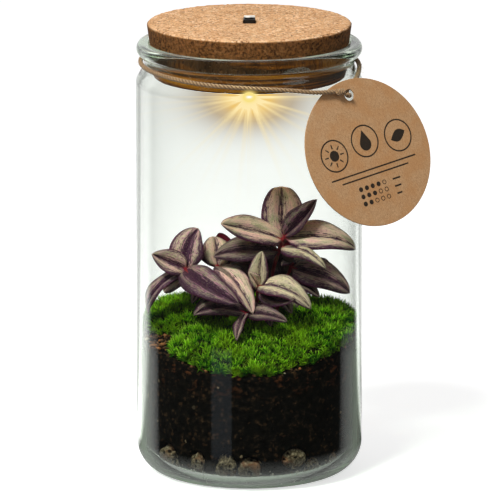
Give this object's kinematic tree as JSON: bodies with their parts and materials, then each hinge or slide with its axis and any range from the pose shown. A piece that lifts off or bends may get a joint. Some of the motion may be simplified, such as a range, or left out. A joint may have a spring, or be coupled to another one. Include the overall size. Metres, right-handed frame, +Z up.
{
  "type": "glass plant terrarium",
  "caption": "Cork-lidded glass jar terrarium with a striped trailing plant, moss, soil and pebbles, a lamp in the lid, and a card tag on twine.",
  "frame": {"origin": "centre of the jar's flat base", "axes": "+Z up, -Y to the front, +X to the right with the tag on the front right"},
  "size_m": [0.1814, 0.1509, 0.2868],
  "materials": {
    "jar_glass": "clear with a faint green tint at the rim and base",
    "cork": "fine agglomerated cork, matt",
    "black_plastic": "moulded, satin",
    "white_plastic": "moulded, matt",
    "lamp_lens": "warm clear diffuser",
    "circuit_board": "solder mask",
    "lamp_glow": "warm white emitter",
    "contact_brass": "sheet",
    "cell_steel": "plated",
    "lead_insulation": "matt",
    "jute": "twisted fibre, hairy",
    "kraft_card": "brown kraft, fibrous, printed in black",
    "potting_soil": "damp crumbly soil",
    "pebble_stone": "rough drainage pebbles",
    "moss_green": "fine living moss",
    "striped_leaf": "living leaf, silver and purple bands, satin"
  },
  "bodies": {
    "planted_jar": {"glass_jar": "jar_glass", "cork_lid": "cork", "switch_frame": "black_plastic", "lamp_housing": "white_plastic", "lamp_lens": "lamp_lens", "lamp_board": "circuit_board", "lamp_emitter": "lamp_glow", "contact_lower": "contact_brass", "contact_upper": "contact_brass", "button_cell_1": "cell_steel", "button_cell_2": "cell_steel", "button_cell_3": "cell_steel", "lead_left": "lead_insulation", "lead_right": "lead_insulation", "twine": "jute", "hang_tag": "kraft_card", "soil": "potting_soil", "pebble_01": "pebble_stone", "pebble_02": "pebble_stone", "pebble_03": "pebble_stone", "pebble_04": "pebble_stone", "pebble_05": "pebble_stone", "pebble_06": "pebble_stone", "pebble_07": "pebble_stone", "pebble_08": "pebble_stone", "pebble_09": "pebble_stone", "pebble_10": "pebble_stone", "pebble_11": "pebble_stone", "pebble_12": "pebble_stone", "moss_front": "moss_green", "moss_right": "moss_green", "moss_back_left": "moss_green", "moss_back": "moss_green", "plant_stem_top": "striped_leaf", "plant_stem_left": "striped_leaf", "plant_stem_middle": "striped_leaf", "plant_stem_centre": "striped_leaf", "plant_stem_front": "striped_leaf", "plant_stem_right": "striped_leaf", "plant_stem_back_left": "striped_leaf", "plant_stem_back_right": "striped_leaf"},
    "switch_knob": {"switch_knob": "black_plastic"}
  },
  "joints": [
    {"name": "switch_slide", "type": "slide", "parent": "planted_jar", "child": "switch_knob", "axis": [1, 0, 0], "range_m": [0, 0.002]}
  ]
}
